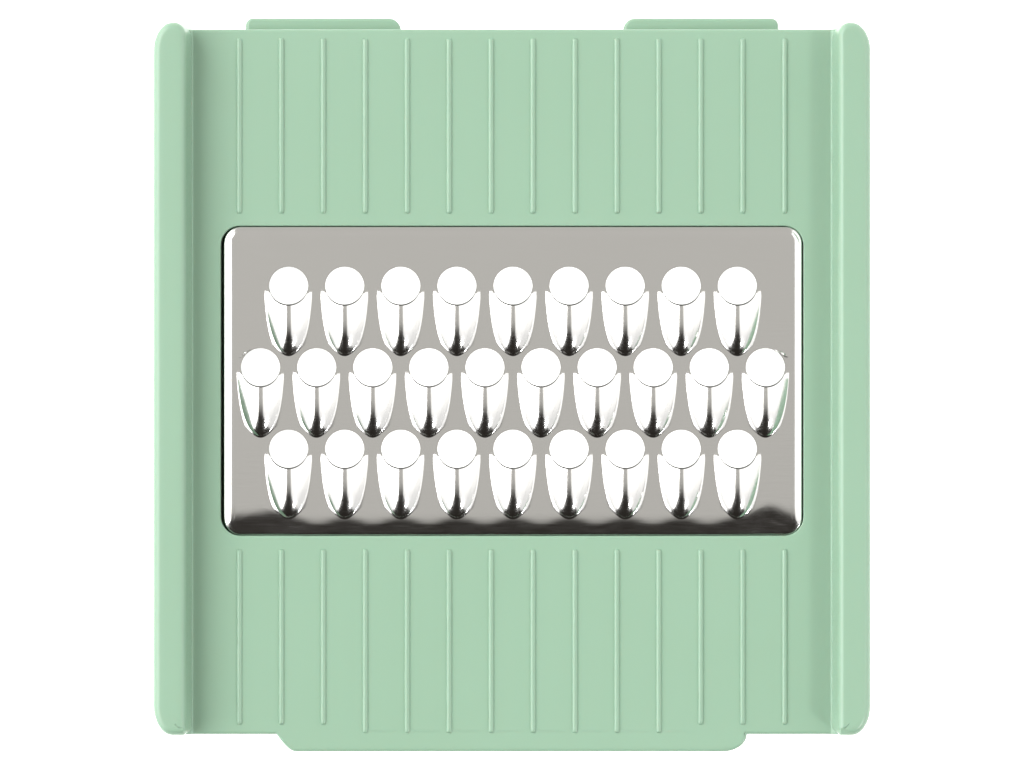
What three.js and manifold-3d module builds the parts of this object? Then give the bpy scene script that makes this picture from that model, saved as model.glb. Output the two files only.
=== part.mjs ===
// Coarse grating insert of a mandoline slicer: a square moulded carrier with two guide rails, a pressed
// stainless grating plate that fills its window from below, and a moulded ring that clamps the plate.
//
// Millimetres. +Z is up, out of the deck that the food slides on. +Y points to the two rear tabs, the way
// the teeth's cutting edges face. The origin is at the centre of the footprint, on the plane that the
// insert stands on.
import * as THREE from "three";
import { mergeVertices } from "three/addons/utils/BufferGeometryUtils.js";
import Module from "manifold-3d";

const wasm = await Module();
wasm.setup();

// ---------------------------------------------------------------------------------------------------------
// Driving dimensions
// ---------------------------------------------------------------------------------------------------------
const GAP = 0.3; // between two pieces that touch
const OVERRUN = 1; // how far a cutter runs past the face that it opens

// Carrier: plan
const CARRIER_HALF_WIDTH = 55.2;
const DECK_FRONT_Y = -54.3;
const DECK_REAR_Y = 55.0;

// Carrier: heights
const DECK_TOP_Z = 8.0;
const DECK_THICKNESS = 2.0;
const DECK_UNDER_Z = DECK_TOP_Z - DECK_THICKNESS;
const SKIRT_THICKNESS = 1.8;

// Guide rails, hollow from below
const RAIL_TOP_Z = 13.0;
const RAIL_INNER_X = 49.6; // foot of the inner wall
const RAIL_INNER_DRAFT = 0.6; // how far the inner wall leans outwards by its top
const RAIL_WALL = 1.6;
const RAIL_FRONT_Y = -54.1;
const RAIL_REAR_Y = 55.7;
const RAIL_OUTER_EDGE_RADIUS = 1.1;
const RAIL_INNER_EDGE_RADIUS = 0.95;
const RAIL_FOOT_FILLET = 0.25;
const RAIL_FRONT_CORNER = [3.35, 4.6]; // half axes of the elliptical outer corner, in X and Y
const RAIL_REAR_CORNER = [2.95, 4.3];
const RAIL_REAR_INNER_RADIUS = 2.1;
const RAIL_LEG_Z = 2.2; // lower end of the inner wall

// Front lip, in the plane of the deck
const LIP_HALF_WIDTH = 36.5;
const LIP_FRONT_Y = -57.0;
const LIP_LEFT_CORNER = [2.2, 2.3]; // a chamfer
const LIP_RIGHT_CORNER = [3.7, 2.4]; // an elliptical corner

// Rear tabs, below the deck
const TAB_INNER_X = 17.3;
const TAB_OUTER_X = 41.5;
const TAB_REAR_Y = 57.0;
const TAB_Z = [2.6, 4.8];
const TAB_INNER_CORNER = 1.7;
const TAB_OUTER_CORNER = 1.1;

// Slide ribs on the deck
const RIB_COUNT = 14;
const RIB_PITCH = 6.5;
const RIB_RADIUS = 0.42;
const RIB_HEIGHT = 0.32;
const REAR_RIB_Y = [26.4, 53.6];
const FRONT_RIB_Y = [-52.8, -25.6];
const FRONT_RIB_LONG_Y = -54.1; // front end of the ribs that run onto the lip

// Window
const WINDOW_HALF_WIDTH = 45.15;
const WINDOW_Y = [-23.5, 24.5];
const WINDOW_CORNER = 3.0;

// Grating plate: a shallow pan with an outward flange
const SHEET = 0.5;
const PLATE_CLEARANCE = 0.3; // between the pan's wall and the window
const PLATE_PROUD = 0.5; // height of the pan's face above the deck
const PLATE_TOP_Z = DECK_TOP_Z + PLATE_PROUD;
const PLATE_EDGE_RADIUS = 1.4;
const FLANGE_WIDTH = 4.4;
const FLANGE_TOP_Z = DECK_UNDER_Z - GAP;

// Teeth
const TOOTH_PITCH_X = 8.69;
const TOOTH_PITCH_Y = 12.63;
const TOOTH_ROWS = [9, 10, 9]; // from rear to front
const TOOTH_MIDDLE_ROW_Y = 2.5;
const TOOTH_HOLE_RADIUS = 3.05;
const HOOD_SHOULDER_DROP = 0.7; // from the hole's centre to the hood's widest line
const HOOD_HALF_WIDTH = 3.67;
const HOOD_LENGTH = 10.0;
const HOOD_HEIGHT = 1.6;
const HOOD_TAPER = 0.2; // share of its width that the hood loses on top of the ellipse's own narrowing

// Clamp ring and the heat-staked studs that hold it
const CLAMP_TOP_Z = FLANGE_TOP_Z - SHEET - GAP;
const CLAMP_THICKNESS = 1.7;
const CLAMP_UNDER_Z = CLAMP_TOP_Z - CLAMP_THICKNESS;
const STUD_RADIUS = 1.0;
const STUD_HEAD_RADIUS = 2.0;
const STUD_HEAD_HEIGHT = 1.0;
const STUD_LONG_SIDE_X = [-37, -12.5, 12.5, 37];
const STUD_SHORT_SIDE_OFFSET = 12; // each side of the window's centre line
const SEAT_WALL = 1.3; // wall round the flange and the clamp ring
const SEAT_WALL_Z = 2.2;

// Stiffening ribs under the deck
const STIFFENER_THICKNESS = 1.2;
const STIFFENER_LOW_Z = 4.4;
const STIFFENER_PITCH = 16.0;
const STIFFENERS_EACH_SIDE = 2;
const CROSS_RIB_FROM_SKIRT = 13.0;

// ---------------------------------------------------------------------------------------------------------
// Solids
// ---------------------------------------------------------------------------------------------------------
function solid(geometry) {
  const bare = geometry.clone();
  bare.deleteAttribute("normal");
  bare.deleteAttribute("uv");
  const merged = mergeVertices(bare, 1e-4);
  const corners = Array.from(merged.index.array);
  const triVerts = [];
  for (let i = 0; i < corners.length; i += 3) {
    const [a, b, c] = corners.slice(i, i + 3);
    if (a !== b && b !== c && c !== a) triVerts.push(a, b, c);
  }
  return new wasm.Manifold(
    new wasm.Mesh({
      numProp: 3,
      vertProperties: new Float32Array(merged.attributes.position.array),
      triVerts: new Uint32Array(triVerts),
    }),
  );
}

function box([x0, x1], [y0, y1], [z0, z1]) {
  const geometry = new THREE.BoxGeometry(x1 - x0, y1 - y0, z1 - z0);
  geometry.translate((x0 + x1) / 2, (y0 + y1) / 2, (z0 + z1) / 2);
  return solid(geometry);
}

// A plan outline raised from z0 to z1.
function prism(shape, [z0, z1], curveSegments = 6) {
  const geometry = new THREE.ExtrudeGeometry(shape, { depth: z1 - z0, bevelEnabled: false, curveSegments });
  geometry.translate(0, 0, z0);
  return solid(geometry);
}

// A section drawn in X and Z, carried from y0 to y1.
function alongY(shape, [y0, y1], curveSegments = 4) {
  const geometry = new THREE.ExtrudeGeometry(shape, { depth: y1 - y0, bevelEnabled: false, curveSegments });
  geometry.rotateX(Math.PI / 2);
  geometry.translate(0, y1, 0);
  return solid(geometry);
}

function cylinder(x, y, [z0, z1], radius, segments) {
  const geometry = new THREE.CylinderGeometry(radius, radius, z1 - z0, segments);
  geometry.rotateX(Math.PI / 2);
  geometry.translate(x, y, (z0 + z1) / 2);
  return solid(geometry);
}

function joined(solids) {
  return solids.reduce((whole, piece) => whole.add(piece));
}

function roundedRectangle([x0, x1], [y0, y1], radius) {
  const shape = new THREE.Shape();
  shape.moveTo(x0 + radius, y0);
  shape.lineTo(x1 - radius, y0);
  shape.absarc(x1 - radius, y0 + radius, radius, -Math.PI / 2, 0);
  shape.lineTo(x1, y1 - radius);
  shape.absarc(x1 - radius, y1 - radius, radius, 0, Math.PI / 2);
  shape.lineTo(x0 + radius, y1);
  shape.absarc(x0 + radius, y1 - radius, radius, Math.PI / 2, Math.PI);
  shape.lineTo(x0, y0 + radius);
  shape.absarc(x0 + radius, y0 + radius, radius, Math.PI, 1.5 * Math.PI);
  return shape;
}

function mirroredInX(piece) {
  return piece.mirror([1, 0, 0]);
}

function mesh(name, piece, material) {
  const { vertProperties, triVerts } = piece.getMesh();
  const geometry = new THREE.BufferGeometry();
  geometry.setAttribute("position", new THREE.BufferAttribute(vertProperties, 3));
  geometry.setIndex(new THREE.BufferAttribute(triVerts, 1));
  geometry.computeVertexNormals();
  const made = new THREE.Mesh(geometry, material);
  made.name = name;
  return made;
}

// ---------------------------------------------------------------------------------------------------------
// Places that two pieces share
// ---------------------------------------------------------------------------------------------------------
const panX = WINDOW_HALF_WIDTH - PLATE_CLEARANCE;
const panY = [WINDOW_Y[0] + PLATE_CLEARANCE, WINDOW_Y[1] - PLATE_CLEARANCE];
const flangeX = panX + FLANGE_WIDTH;
const flangeY = [panY[0] - FLANGE_WIDTH, panY[1] + FLANGE_WIDTH];
const flangeCorner = WINDOW_CORNER + FLANGE_WIDTH / 2;
const studInset = FLANGE_WIDTH / 2 + 0.1; // from the pan's wall to a stud's axis
const windowMiddleY = (WINDOW_Y[0] + WINDOW_Y[1]) / 2;

const studPlaces = [
  ...STUD_LONG_SIDE_X.flatMap((x) => [
    [x, panY[0] - studInset],
    [x, panY[1] + studInset],
  ]),
  ...[-1, 1].flatMap((side) => [
    [side * (panX + studInset), windowMiddleY - STUD_SHORT_SIDE_OFFSET],
    [side * (panX + studInset), windowMiddleY + STUD_SHORT_SIDE_OFFSET],
  ]),
];

const toothPlaces = TOOTH_ROWS.flatMap((count, row) =>
  Array.from({ length: count }, (_, i) => [
    (i - (count - 1) / 2) * TOOTH_PITCH_X,
    TOOTH_MIDDLE_ROW_Y + (1 - row) * TOOTH_PITCH_Y,
  ]),
);

// Cutters for the studs' clearance holes in the flange and the clamp ring.
function studHoles(zRange) {
  return joined(studPlaces.map(([x, y]) => cylinder(x, y, zRange, STUD_RADIUS + GAP, 12)));
}

// ---------------------------------------------------------------------------------------------------------
// Carrier
// ---------------------------------------------------------------------------------------------------------
function railPlan() {
  const outer = CARRIER_HALF_WIDTH;
  const inner = RAIL_INNER_X - RAIL_FOOT_FILLET;
  const [frontX, frontY] = RAIL_FRONT_CORNER;
  const [rearX, rearY] = RAIL_REAR_CORNER;
  const rearInner = RAIL_INNER_X + RAIL_REAR_INNER_RADIUS;
  const shape = new THREE.Shape();
  shape.moveTo(inner, RAIL_FRONT_Y);
  shape.lineTo(outer - frontX, RAIL_FRONT_Y);
  shape.absellipse(outer - frontX, RAIL_FRONT_Y + frontY, frontX, frontY, -Math.PI / 2, 0);
  shape.lineTo(outer, RAIL_REAR_Y - rearY);
  shape.absellipse(outer - rearX, RAIL_REAR_Y - rearY, rearX, rearY, 0, Math.PI / 2);
  shape.lineTo(rearInner, RAIL_REAR_Y);
  shape.absarc(
    rearInner,
    RAIL_REAR_Y - RAIL_REAR_INNER_RADIUS,
    RAIL_REAR_INNER_RADIUS,
    Math.PI / 2,
    Math.PI,
  );
  shape.lineTo(RAIL_INNER_X, DECK_REAR_Y - SKIRT_THICKNESS);
  shape.lineTo(inner, DECK_REAR_Y - SKIRT_THICKNESS);
  return shape;
}

// The rail's section: upright outer wall, rounded top edges, leaning inner wall and a fillet onto the deck.
function railSection() {
  const outer = CARRIER_HALF_WIDTH;
  const innerTop = RAIL_INNER_X + RAIL_INNER_DRAFT;
  const shape = new THREE.Shape();
  shape.moveTo(RAIL_INNER_X, 0);
  shape.lineTo(outer, 0);
  shape.lineTo(outer, RAIL_TOP_Z - RAIL_OUTER_EDGE_RADIUS);
  shape.absarc(
    outer - RAIL_OUTER_EDGE_RADIUS,
    RAIL_TOP_Z - RAIL_OUTER_EDGE_RADIUS,
    RAIL_OUTER_EDGE_RADIUS,
    0,
    Math.PI / 2,
  );
  shape.lineTo(innerTop + RAIL_INNER_EDGE_RADIUS, RAIL_TOP_Z);
  shape.absarc(
    innerTop + RAIL_INNER_EDGE_RADIUS,
    RAIL_TOP_Z - RAIL_INNER_EDGE_RADIUS,
    RAIL_INNER_EDGE_RADIUS,
    Math.PI / 2,
    Math.PI,
  );
  shape.lineTo(RAIL_INNER_X, DECK_TOP_Z + RAIL_FOOT_FILLET);
  shape.absarc(
    RAIL_INNER_X - RAIL_FOOT_FILLET,
    DECK_TOP_Z + RAIL_FOOT_FILLET,
    RAIL_FOOT_FILLET,
    0,
    -Math.PI / 2,
    true,
  );
  shape.lineTo(RAIL_INNER_X - RAIL_FOOT_FILLET, DECK_UNDER_Z);
  shape.lineTo(RAIL_INNER_X, DECK_UNDER_Z);
  return shape;
}

function rail() {
  const outside = alongY(railSection(), [RAIL_FRONT_Y, RAIL_REAR_Y]).intersect(
    prism(railPlan(), [-OVERRUN, RAIL_TOP_Z + OVERRUN], 8),
  );
  const channel = prism(
    roundedRectangle(
      [RAIL_INNER_X + RAIL_WALL, CARRIER_HALF_WIDTH - RAIL_WALL],
      [RAIL_FRONT_Y + 2 * RAIL_WALL, RAIL_REAR_Y - 2 * RAIL_WALL],
      0.5,
    ),
    [-OVERRUN, RAIL_TOP_Z - RAIL_WALL],
    3,
  );
  const underLeg = box(
    [RAIL_INNER_X - OVERRUN, RAIL_INNER_X + RAIL_WALL],
    [DECK_FRONT_Y + SKIRT_THICKNESS, DECK_REAR_Y - SKIRT_THICKNESS],
    [-OVERRUN, RAIL_LEG_Z],
  );
  return outside.subtract(channel).subtract(underLeg);
}

function deck() {
  const reach = RAIL_INNER_X + RAIL_WALL;
  const slab = box([-reach, reach], [DECK_FRONT_Y, DECK_REAR_Y], [DECK_UNDER_Z, DECK_TOP_Z]);
  const skirtSpan = [-reach, reach];
  const frontSkirt = box(skirtSpan, [DECK_FRONT_Y, DECK_FRONT_Y + SKIRT_THICKNESS], [0, DECK_TOP_Z]);
  const rearSkirt = box(skirtSpan, [DECK_REAR_Y - SKIRT_THICKNESS, DECK_REAR_Y], [0, DECK_TOP_Z]);
  return joined([slab, frontSkirt, rearSkirt]);
}

function lip() {
  const back = DECK_FRONT_Y + SKIRT_THICKNESS;
  const [leftX, leftY] = LIP_LEFT_CORNER;
  const [rightX, rightY] = LIP_RIGHT_CORNER;
  const shape = new THREE.Shape();
  shape.moveTo(-LIP_HALF_WIDTH, back);
  shape.lineTo(-LIP_HALF_WIDTH, LIP_FRONT_Y + leftY);
  shape.lineTo(-LIP_HALF_WIDTH + leftX, LIP_FRONT_Y);
  shape.lineTo(LIP_HALF_WIDTH - rightX, LIP_FRONT_Y);
  shape.absellipse(LIP_HALF_WIDTH - rightX, LIP_FRONT_Y + rightY, rightX, rightY, -Math.PI / 2, 0);
  shape.lineTo(LIP_HALF_WIDTH, back);
  return prism(shape, [DECK_UNDER_Z, DECK_TOP_Z]);
}

function rearTab() {
  const front = DECK_REAR_Y - SKIRT_THICKNESS;
  const shape = new THREE.Shape();
  shape.moveTo(TAB_INNER_X, front);
  shape.lineTo(TAB_OUTER_X, front);
  shape.lineTo(TAB_OUTER_X, TAB_REAR_Y - TAB_OUTER_CORNER);
  shape.absarc(
    TAB_OUTER_X - TAB_OUTER_CORNER,
    TAB_REAR_Y - TAB_OUTER_CORNER,
    TAB_OUTER_CORNER,
    0,
    Math.PI / 2,
  );
  shape.lineTo(TAB_INNER_X + TAB_INNER_CORNER, TAB_REAR_Y);
  shape.absarc(
    TAB_INNER_X + TAB_INNER_CORNER,
    TAB_REAR_Y - TAB_INNER_CORNER,
    TAB_INNER_CORNER,
    Math.PI / 2,
    Math.PI,
  );
  return prism(shape, TAB_Z);
}

// A low half-round rib with round ends, half sunk in the deck.
function slideRib(x, [y0, y1]) {
  const geometry = new THREE.CapsuleGeometry(RIB_RADIUS, y1 - y0 - 2 * RIB_RADIUS, 2, 10);
  geometry.scale(1, 1, RIB_HEIGHT / RIB_RADIUS);
  geometry.translate(x, (y0 + y1) / 2, DECK_TOP_Z);
  return solid(geometry);
}

function slideRibs() {
  return Array.from({ length: RIB_COUNT }, (_, i) => (i - (RIB_COUNT - 1) / 2) * RIB_PITCH).flatMap((x) => {
    const onLip = Math.abs(x) < LIP_HALF_WIDTH - RIB_PITCH;
    const front = [onLip ? FRONT_RIB_LONG_Y : FRONT_RIB_Y[0], FRONT_RIB_Y[1]];
    return [slideRib(x, REAR_RIB_Y), slideRib(x, front)];
  });
}

// The wall under the deck that locates the plate's flange and the clamp ring.
function seatWall() {
  const reach = RAIL_INNER_X + RAIL_WALL;
  const around = box(
    [-reach, reach],
    [flangeY[0] - GAP - SEAT_WALL, flangeY[1] + GAP + SEAT_WALL],
    [SEAT_WALL_Z, DECK_UNDER_Z],
  );
  const pocket = prism(
    roundedRectangle(
      [-flangeX - GAP, flangeX + GAP],
      [flangeY[0] - GAP, flangeY[1] + GAP],
      flangeCorner + GAP,
    ),
    [SEAT_WALL_Z - OVERRUN, DECK_UNDER_Z],
    4,
  );
  return around.subtract(pocket);
}

// Ribs under the deck between each skirt and the seat wall, and one across them.
function stiffeners() {
  const half = STIFFENER_THICKNESS / 2;
  const z = [STIFFENER_LOW_Z, DECK_UNDER_Z];
  const reach = RAIL_INNER_X + RAIL_WALL;
  const fields = [
    {
      y: [DECK_FRONT_Y + SKIRT_THICKNESS, flangeY[0] - GAP - SEAT_WALL],
      cross: DECK_FRONT_Y + CROSS_RIB_FROM_SKIRT,
    },
    {
      y: [flangeY[1] + GAP + SEAT_WALL, DECK_REAR_Y - SKIRT_THICKNESS],
      cross: DECK_REAR_Y - CROSS_RIB_FROM_SKIRT,
    },
  ];
  return fields.flatMap(({ y, cross }) => {
    const lengthwise = [];
    for (let i = -STIFFENERS_EACH_SIDE; i <= STIFFENERS_EACH_SIDE; i++) {
      const x = i * STIFFENER_PITCH;
      lengthwise.push(box([x - half, x + half], y, z));
    }
    return [...lengthwise, box([-reach, reach], [cross - half, cross + half], z)];
  });
}

// Studs that pass through the flange and the clamp ring, with the heads that staking leaves.
function studs() {
  const headTop = CLAMP_UNDER_Z - GAP;
  return studPlaces.flatMap(([x, y]) => {
    const head = new THREE.SphereGeometry(STUD_HEAD_RADIUS, 12, 6, 0, 2 * Math.PI, 0, Math.PI);
    head.rotateX(Math.PI / 2);
    head.scale(1, 1, STUD_HEAD_HEIGHT / STUD_HEAD_RADIUS);
    head.translate(x, y, headTop);
    const dome = solid(head).intersect(
      box(
        [x - STUD_HEAD_RADIUS, x + STUD_HEAD_RADIUS],
        [y - STUD_HEAD_RADIUS, y + STUD_HEAD_RADIUS],
        [headTop - STUD_HEAD_HEIGHT, headTop],
      ),
    );
    return [cylinder(x, y, [headTop - STUD_HEAD_HEIGHT / 2, DECK_TOP_Z - SHEET], STUD_RADIUS, 12), dome];
  });
}

function carrier() {
  const opening = prism(
    roundedRectangle([-WINDOW_HALF_WIDTH, WINDOW_HALF_WIDTH], WINDOW_Y, WINDOW_CORNER),
    [DECK_UNDER_Z - OVERRUN, DECK_TOP_Z + OVERRUN],
  );
  const base = joined([deck(), rail(), mirroredInX(rail()), lip(), rearTab(), mirroredInX(rearTab())]);
  return joined([base.subtract(opening), seatWall(), ...stiffeners(), ...studs(), ...slideRibs()]);
}

// ---------------------------------------------------------------------------------------------------------
// Grating plate
// ---------------------------------------------------------------------------------------------------------
// A pan turned upside down, solid, with its upper edge rounded. inset shrinks it by the sheet for its
// inside.
function panBlock(inset) {
  const radius = PLATE_EDGE_RADIUS - inset;
  const corner = WINDOW_CORNER - PLATE_CLEARANCE - PLATE_EDGE_RADIUS;
  const top = PLATE_TOP_Z - inset;
  const x = panX - PLATE_EDGE_RADIUS;
  const y = [panY[0] + PLATE_EDGE_RADIUS, panY[1] - PLATE_EDGE_RADIUS];
  const outline = roundedRectangle([-x, x], y, corner);
  const depth = PLATE_TOP_Z - FLANGE_TOP_Z;
  const geometry = new THREE.ExtrudeGeometry(outline, {
    depth,
    bevelEnabled: true,
    bevelSize: radius,
    bevelThickness: radius,
    bevelSegments: 3,
    curveSegments: 4,
  });
  geometry.translate(0, 0, top - depth - radius);
  const floor = FLANGE_TOP_Z - SHEET - inset * 4;
  return solid(geometry).intersect(box([-flangeX, flangeX], flangeY, [floor, PLATE_TOP_Z + OVERRUN]));
}

// An ellipsoid, narrowed towards its tip. inset shrinks it by the sheet for the inside of the hood.
function hoodBlock(x, y, inset) {
  const halfWidth = HOOD_HALF_WIDTH - inset;
  const length = HOOD_LENGTH - inset;
  const height = HOOD_HEIGHT - inset;
  const geometry = new THREE.SphereGeometry(1, 12, 8);
  const places = geometry.attributes.position;
  for (let i = 0; i < places.count; i++) {
    const towardsTip = Math.max(0, -places.getY(i));
    places.setX(i, places.getX(i) * (1 - HOOD_TAPER * towardsTip));
  }
  geometry.scale(halfWidth, length, height);
  geometry.translate(x, y - HOOD_SHOULDER_DROP, PLATE_TOP_Z - inset / 2);
  return solid(geometry);
}

function gratingPlate() {
  const sheetMiddle = PLATE_TOP_Z - SHEET / 2;
  const flange = prism(
    roundedRectangle([-flangeX, flangeX], flangeY, flangeCorner),
    [FLANGE_TOP_Z - SHEET, FLANGE_TOP_Z],
    4,
  );
  const pan = panBlock(0).add(flange).subtract(panBlock(SHEET));
  const hoods = toothPlaces.map(([x, y]) =>
    hoodBlock(x, y, 0).intersect(
      box(
        [x - HOOD_HALF_WIDTH, x + HOOD_HALF_WIDTH],
        [y - HOOD_SHOULDER_DROP - HOOD_LENGTH, y - HOOD_SHOULDER_DROP],
        [sheetMiddle, PLATE_TOP_Z + HOOD_HEIGHT],
      ),
    ),
  );
  const insides = toothPlaces.map(([x, y]) =>
    hoodBlock(x, y, SHEET).intersect(
      box(
        [x - HOOD_HALF_WIDTH, x + HOOD_HALF_WIDTH],
        [y - HOOD_SHOULDER_DROP - HOOD_LENGTH, y],
        [PLATE_TOP_Z - HOOD_HEIGHT, PLATE_TOP_Z + HOOD_HEIGHT],
      ),
    ),
  );
  const through = [PLATE_TOP_Z - SHEET - OVERRUN, PLATE_TOP_Z + HOOD_HEIGHT + OVERRUN];
  const holes = toothPlaces.map(([x, y]) => cylinder(x, y, through, TOOTH_HOLE_RADIUS, 16));
  return joined([pan, ...hoods])
    .subtract(joined(insides))
    .subtract(joined(holes))
    .subtract(studHoles([FLANGE_TOP_Z - SHEET - OVERRUN, FLANGE_TOP_Z + OVERRUN]));
}

// ---------------------------------------------------------------------------------------------------------
// Clamp ring
// ---------------------------------------------------------------------------------------------------------
function clampRing() {
  const outside = prism(
    roundedRectangle([-flangeX, flangeX], flangeY, flangeCorner),
    [CLAMP_UNDER_Z, CLAMP_TOP_Z],
    4,
  );
  const inside = prism(
    roundedRectangle(
      [-panX + SHEET, panX - SHEET],
      [panY[0] + SHEET, panY[1] - SHEET],
      WINDOW_CORNER - SHEET,
    ),
    [CLAMP_UNDER_Z - OVERRUN, CLAMP_TOP_Z + OVERRUN],
    4,
  );
  return outside.subtract(inside).subtract(studHoles([CLAMP_UNDER_Z - OVERRUN, CLAMP_TOP_Z + OVERRUN]));
}

// ---------------------------------------------------------------------------------------------------------
// The insert
// ---------------------------------------------------------------------------------------------------------
const mintPlastic = new THREE.MeshStandardMaterial({ color: 0xaed0b4, roughness: 0.42, metalness: 0 });
const stainlessSteel = new THREE.MeshStandardMaterial({ color: 0xc9c7c2, roughness: 0.14, metalness: 1 });

const insert = new THREE.Group();
insert.add(mesh("carrier_frame", carrier(), mintPlastic));
insert.add(mesh("grating_plate", gratingPlate(), stainlessSteel));
insert.add(mesh("clamp_ring", clampRing(), mintPlastic));

export default insert;
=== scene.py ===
import math

import bmesh
import bpy
import numpy as np
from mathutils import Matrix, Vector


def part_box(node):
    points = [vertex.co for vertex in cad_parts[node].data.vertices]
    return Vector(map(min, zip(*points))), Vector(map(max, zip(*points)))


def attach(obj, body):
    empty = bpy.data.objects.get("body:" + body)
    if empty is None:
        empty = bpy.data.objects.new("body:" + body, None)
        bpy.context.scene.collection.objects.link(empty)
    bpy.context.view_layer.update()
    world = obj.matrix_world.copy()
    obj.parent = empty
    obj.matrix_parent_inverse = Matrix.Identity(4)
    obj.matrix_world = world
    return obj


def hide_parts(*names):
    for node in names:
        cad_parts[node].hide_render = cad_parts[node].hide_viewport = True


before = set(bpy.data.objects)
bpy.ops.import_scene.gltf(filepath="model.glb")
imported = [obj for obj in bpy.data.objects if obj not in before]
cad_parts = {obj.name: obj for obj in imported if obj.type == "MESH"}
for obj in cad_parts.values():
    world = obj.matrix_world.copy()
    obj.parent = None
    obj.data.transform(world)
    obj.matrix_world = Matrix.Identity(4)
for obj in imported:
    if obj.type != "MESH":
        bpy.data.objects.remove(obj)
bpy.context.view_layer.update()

# ------------------------------------------------------------------------------------------------------------
# Camera and light. The insert lies on a white sweep and is seen from straight above with a long lens. A large
# soft box stands on each side, the left one much the brighter. The ceiling is pale grey overhead and behind,
# and dark in front, so steel that leans to the front mirrors a dark room.
# ------------------------------------------------------------------------------------------------------------
MM = 0.001  # sizes below are in millimetres


def linear(hex_colour):
    """sRGB hex to linear RGBA.

    A channel is c / 12.92 near black, and ((c + 0.055) / 1.055) to the power 2.4 above that.
    """
    channels = [int(hex_colour[i : i + 2], 16) / 255 for i in (1, 3, 5)]
    return [c / 12.92 if c <= 0.04045 else ((c + 0.055) / 1.055) ** 2.4 for c in channels] + [1.0]


def node(tree, kind, settings=None, **links):
    """Adds a node. settings are its properties; a link is an input's value, or the output that feeds it.

    An input is named by its label with spaces as underscores, or by its place as i0, i1, i2.
    """
    made = tree.nodes.new("ShaderNode" + kind)
    for name, value in (settings or {}).items():
        setattr(made, name, value)
    for name, value in links.items():
        indexed = name[0] == "i" and name[1:].isdigit()
        socket = made.inputs[int(name[1:]) if indexed else name.replace("_", " ")]
        if isinstance(value, bpy.types.NodeSocket):
            tree.links.new(value, socket)
        else:
            socket.default_value = value
    return made


# The camera's and the lights' places and sizes are in metres.
CAMERA_HEIGHT = 0.66
LENS = 147.9
BOX_DISTANCE = 1.0
BOX_WIDTH = 2.2
BOX_MIDDLE_Y = 0.35
BOX_LOW = 0.45
BOX_HIGH = 2.5
CARD_HIGH = 0.44  # the cards fill the strip between the sweep and the boxes
LEFT_BOX_RADIANCE = 5.0
RIGHT_BOX_RADIANCE = 1.3
LEFT_CARD_RADIANCE = 1.5
RIGHT_CARD_RADIANCE = 1.2

scene = bpy.context.scene
scene.view_settings.view_transform = "Standard"

camera_data = bpy.data.cameras.new("camera")
camera_data.lens = LENS
camera = bpy.data.objects.new("camera", camera_data)
camera.location = (0.0, 0.0, CAMERA_HEIGHT)
scene.collection.objects.link(camera)
scene.camera = camera


def soft_box(name, x, low, high, radiance):
    """An upright panel from low to high that faces the insert; its power is radiance x pi x area."""
    data = bpy.data.lights.new(name, "AREA")
    data.shape = "RECTANGLE"
    data.size = BOX_WIDTH
    data.size_y = high - low
    data.energy = radiance * math.pi * data.size * data.size_y
    panel = bpy.data.objects.new(name, data)
    panel.location = (x, BOX_MIDDLE_Y, (low + high) / 2)
    panel.rotation_euler = (math.radians(90), 0.0, math.radians(90 if x > 0 else -90))
    panel.visible_camera = False
    scene.collection.objects.link(panel)


soft_box("left_soft_box", -BOX_DISTANCE, BOX_LOW, BOX_HIGH, LEFT_BOX_RADIANCE)
soft_box("left_low_card", -BOX_DISTANCE, 0.0, CARD_HIGH, LEFT_CARD_RADIANCE)
soft_box("right_soft_box", BOX_DISTANCE, BOX_LOW, BOX_HIGH, RIGHT_BOX_RADIANCE)
soft_box("right_low_card", BOX_DISTANCE, 0.0, CARD_HIGH, RIGHT_CARD_RADIANCE)

# A small lamp at the front right, to put a spark on the hoods' noses.
SPARK_SIZE = 0.10
SPARK_POWER = 2.4  # watts
SPARK_PLACE = (0.60, -0.46, 0.62)
SPARK_TILT = math.radians(50.7)  # from straight down
SPARK_HEADING = math.radians(52.5)
spark = bpy.data.lights.new("spark", "AREA")
spark.size = SPARK_SIZE
spark.energy = SPARK_POWER
spark_lamp = bpy.data.objects.new("spark", spark)
spark_lamp.location = SPARK_PLACE
spark_lamp.rotation_euler = (SPARK_TILT, 0.0, SPARK_HEADING)
spark_lamp.visible_camera = False
scene.collection.objects.link(spark_lamp)

# The room's light by the Y of its direction: dark up to the first value and pale from the second one on.
ROOM_DARK_TO = -0.32
ROOM_PALE_FROM = -0.03
room = bpy.data.worlds.new("room")
room.use_nodes = True
scene.world = room
tree = room.node_tree
tree.nodes.clear()
direction = node(tree, "TexCoord").outputs["Generated"]
split = node(tree, "SeparateXYZ", Vector=direction)
towards_rear = node(tree, "MapRange", {"interpolation_type": "SMOOTHSTEP"}, Value=split.outputs["Y"],
                    From_Min=ROOM_DARK_TO, From_Max=ROOM_PALE_FROM, To_Min=0.0, To_Max=1.0)
wall = node(tree, "Mix", {"data_type": "RGBA"}, Factor=towards_rear.outputs["Result"],
            i6=linear("#2e2a26"), i7=linear("#dedcd7"))
sky = node(tree, "Background", Color=wall.outputs[2], Strength=1.0)
node(tree, "OutputWorld", Surface=sky.outputs["Background"])

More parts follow.
